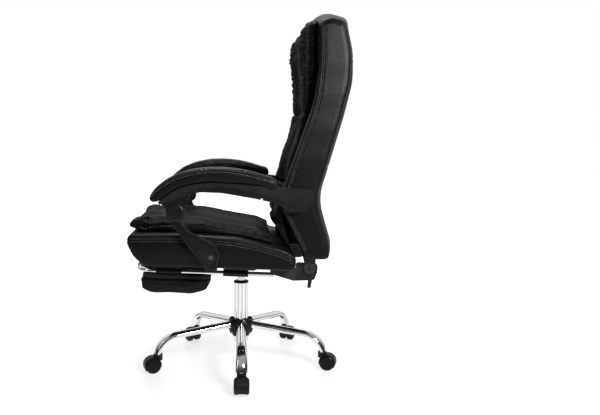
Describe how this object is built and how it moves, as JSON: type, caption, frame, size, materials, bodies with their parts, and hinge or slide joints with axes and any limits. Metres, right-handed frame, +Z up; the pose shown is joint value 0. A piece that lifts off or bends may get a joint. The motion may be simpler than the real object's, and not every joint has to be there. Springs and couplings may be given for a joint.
{
  "type": "reclining office chair",
  "caption": "High-back swivel office chair with a reclining padded backrest, linked armrests, a gas lift and a slide-out flip-over footrest on a five-leg caster base.",
  "frame": {"origin": "on the floor under the gas column, at the middle of the caster base's footprint", "axes": "+Z up, -X the way the sitter faces, +Y towards the sitter's right"},
  "size_m": [0.699, 0.6715, 1.1844],
  "materials": {
    "black_leather": "satin synthetic leather, stitched and gathered",
    "chrome": "polished plating",
    "black_plastic": "moulded, finely textured",
    "gloss_plastic": "moulded, polished",
    "black_steel": "powder coated",
    "steel": "plated",
    "gas_chrome": "ground and plated",
    "brass": "plain",
    "plywood": "unfinished plywood",
    "wheel_plastic": "nylon tread and disc"
  },
  "bodies": {
    "base": {"star_base": "chrome", "hub_cover": "black_plastic", "column_tube": "chrome", "column_bushing": "black_plastic", "thrust_bearing": "brass"},
    "gas_rod": {"gas_rod": "gas_chrome", "retaining_clip": "steel"},
    "seat": {"gas_cylinder": "gas_chrome", "seat_mechanism": "black_steel", "seat_bolts": "steel", "seat_board": "plywood", "seat_base_cushion": "black_leather", "seat_pillow": "black_leather", "rail_guides": "black_plastic", "recline_brackets": "black_steel", "arm_brackets": "black_steel"},
    "valve": {"valve_button": "steel"},
    "height_lever": {"height_lever": "black_steel", "height_paddle": "gloss_plastic"},
    "recline_lever": {"recline_lever": "black_plastic"},
    "backrest": {"back_board": "plywood", "back_cushion": "black_leather", "head_pillow": "black_leather", "mid_pillow": "black_leather", "lumbar_pillow": "black_leather", "back_hinges": "black_steel", "arm_hinge_plates": "black_steel"},
    "strut_left": {"strut_left": "gloss_plastic"},
    "strut_right": {"strut_right": "gloss_plastic"},
    "arm_left": {"arm_frame_left": "gloss_plastic", "arm_pad_left": "black_leather", "arm_pivot_left": "gloss_plastic"},
    "arm_right": {"arm_frame_right": "gloss_plastic", "arm_pad_right": "black_leather", "arm_pivot_right": "gloss_plastic"},
    "footrest_slide": {"footrest_tube": "chrome"},
    "footrest_pad": {"footrest_board": "plywood", "footrest_pad": "black_leather", "footrest_clips": "black_plastic"},
    "caster_1": {"caster_1_hood": "black_plastic", "caster_1_stem": "steel"},
    "caster_1_wheel_left": {"caster_1_wheel_left": "wheel_plastic"},
    "caster_1_wheel_right": {"caster_1_wheel_right": "wheel_plastic"},
    "caster_2": {"caster_2_hood": "black_plastic", "caster_2_stem": "steel"},
    "caster_2_wheel_left": {"caster_2_wheel_left": "wheel_plastic"},
    "caster_2_wheel_right": {"caster_2_wheel_right": "wheel_plastic"},
    "caster_3": {"caster_3_hood": "black_plastic", "caster_3_stem": "steel"},
    "caster_3_wheel_left": {"caster_3_wheel_left": "wheel_plastic"},
    "caster_3_wheel_right": {"caster_3_wheel_right": "wheel_plastic"},
    "caster_4": {"caster_4_hood": "black_plastic", "caster_4_stem": "steel"},
    "caster_4_wheel_left": {"caster_4_wheel_left": "wheel_plastic"},
    "caster_4_wheel_right": {"caster_4_wheel_right": "wheel_plastic"},
    "caster_5": {"caster_5_hood": "black_plastic", "caster_5_stem": "steel"},
    "caster_5_wheel_left": {"caster_5_wheel_left": "wheel_plastic"},
    "caster_5_wheel_right": {"caster_5_wheel_right": "wheel_plastic"}
  },
  "joints": [
    {"name": "seat_swivel", "type": "hinge", "parent": "base", "child": "gas_rod", "pos_m": [0, 0, 0.083], "axis": [0, 0, 1], "continuous": true},
    {"name": "gas_lift", "type": "slide", "parent": "gas_rod", "child": "seat", "axis": [0, 0, 1], "range_m": [0, 0.1]},
    {"name": "back_recline", "type": "hinge", "parent": "seat", "child": "backrest", "pos_m": [0.215, 0, 0.369], "axis": [0, 1, 0], "range_deg": [0, 45]},
    {"name": "strut_left_pivot", "type": "hinge", "parent": "seat", "child": "strut_left", "pos_m": [-0.094, -0.27, 0.419], "axis": [0, 1, 0], "range_deg": [0, 59]},
    {"name": "strut_right_pivot", "type": "hinge", "parent": "seat", "child": "strut_right", "pos_m": [-0.094, 0.27, 0.419], "axis": [0, 1, 0], "range_deg": [0, 59]},
    {"name": "arm_left_pivot", "type": "hinge", "parent": "strut_left", "child": "arm_left", "pos_m": [-0.197, -0.29, 0.559], "axis": [0, 1, 0], "range_deg": [-52, 0]},
    {"name": "arm_right_pivot", "type": "hinge", "parent": "strut_right", "child": "arm_right", "pos_m": [-0.197, 0.29, 0.559], "axis": [0, 1, 0], "range_deg": [-52, 0]},
    {"name": "footrest_extend", "type": "slide", "parent": "seat", "child": "footrest_slide", "axis": [-0.9993, 0, 0.0384], "range_m": [0, 0.15]},
    {"name": "footrest_flip", "type": "hinge", "parent": "footrest_slide", "child": "footrest_pad", "pos_m": [-0.32699, 0, 0.35754], "axis": [0, 1, 0], "range_deg": [0, 180]},
    {"name": "height_lever_tilt", "type": "hinge", "parent": "seat", "child": "height_lever", "pos_m": [-0.00044, 0.05, 0.36551], "axis": [0.9993, 0, -0.0384], "range_deg": [0, 5], "stiffness_Nm_per_rad": 0.8, "springref_deg": -3.44},
    {"name": "valve_press", "type": "slide", "parent": "seat", "child": "valve", "axis": [0, 0, 1], "range_m": [-0.0044, 0], "stiffness_N_per_m": 300, "springref_m": 0.002},
    {"name": "recline_lever_pull", "type": "hinge", "parent": "seat", "child": "recline_lever", "pos_m": [0.219, -0.195, 0.35], "axis": [0, 1, 0], "range_deg": [0, 20], "stiffness_Nm_per_rad": 0.3, "springref_deg": -2.86},
    {"name": "caster_1_swivel", "type": "hinge", "parent": "base", "child": "caster_1", "pos_m": [0, -0.289, 0.06], "axis": [0, 0, 1], "continuous": true},
    {"name": "caster_1_wheel_left_roll", "type": "hinge", "parent": "caster_1", "child": "caster_1_wheel_left", "pos_m": [-0.0176, -0.308, 0.025], "axis": [1, 0, 0], "continuous": true},
    {"name": "caster_1_wheel_right_roll", "type": "hinge", "parent": "caster_1", "child": "caster_1_wheel_right", "pos_m": [0.0176, -0.308, 0.025], "axis": [1, 0, 0], "continuous": true},
    {"name": "caster_2_swivel", "type": "hinge", "parent": "base", "child": "caster_2", "pos_m": [0.27486, -0.08931, 0.06], "axis": [0, 0, 1], "continuous": true},
    {"name": "caster_2_wheel_left_roll", "type": "hinge", "parent": "caster_2", "child": "caster_2_wheel_left", "pos_m": [0.28749, -0.11192, 0.025], "axis": [0.309, 0.9511, 0], "continuous": true},
    {"name": "caster_2_wheel_right_roll", "type": "hinge", "parent": "caster_2", "child": "caster_2_wheel_right", "pos_m": [0.29836, -0.07844, 0.025], "axis": [0.309, 0.9511, 0], "continuous": true},
    {"name": "caster_3_swivel", "type": "hinge", "parent": "base", "child": "caster_3", "pos_m": [0.16987, 0.23381, 0.06], "axis": [0, 0, 1], "continuous": true},
    {"name": "caster_3_wheel_left_roll", "type": "hinge", "parent": "caster_3", "child": "caster_3_wheel_left", "pos_m": [0.19528, 0.23883, 0.025], "axis": [-0.809, 0.5878, 0], "continuous": true},
    {"name": "caster_3_wheel_right_roll", "type": "hinge", "parent": "caster_3", "child": "caster_3_wheel_right", "pos_m": [0.1668, 0.25952, 0.025], "axis": [-0.809, 0.5878, 0], "continuous": true},
    {"name": "caster_4_swivel", "type": "hinge", "parent": "base", "child": "caster_4", "pos_m": [-0.16987, 0.23381, 0.06], "axis": [0, 0, 1], "continuous": true},
    {"name": "caster_4_wheel_left_roll", "type": "hinge", "parent": "caster_4", "child": "caster_4_wheel_left", "pos_m": [-0.1668, 0.25952, 0.025], "axis": [-0.809, -0.5878, 0], "continuous": true},
    {"name": "caster_4_wheel_right_roll", "type": "hinge", "parent": "caster_4", "child": "caster_4_wheel_right", "pos_m": [-0.19528, 0.23883, 0.025], "axis": [-0.809, -0.5878, 0], "continuous": true},
    {"name": "caster_5_swivel", "type": "hinge", "parent": "base", "child": "caster_5", "pos_m": [-0.27486, -0.08931, 0.06], "axis": [0, 0, 1], "continuous": true},
    {"name": "caster_5_wheel_left_roll", "type": "hinge", "parent": "caster_5", "child": "caster_5_wheel_left", "pos_m": [-0.29836, -0.07844, 0.025], "axis": [0.309, -0.9511, 0], "continuous": true},
    {"name": "caster_5_wheel_right_roll", "type": "hinge", "parent": "caster_5", "child": "caster_5_wheel_right", "pos_m": [-0.28749, -0.11192, 0.025], "axis": [0.309, -0.9511, 0], "continuous": true}
  ],
  "couplings": [
    {"joint": "strut_left_pivot", "follows": "back_recline", "ratio": 1.3011},
    {"joint": "arm_left_pivot", "follows": "back_recline", "ratio": -1.1396},
    {"joint": "strut_right_pivot", "follows": "back_recline", "ratio": 1.3011},
    {"joint": "arm_right_pivot", "follows": "back_recline", "ratio": -1.1396},
    {"joint": "valve_press", "follows": "height_lever_tilt", "m_per_rad": -0.049}
  ]
}
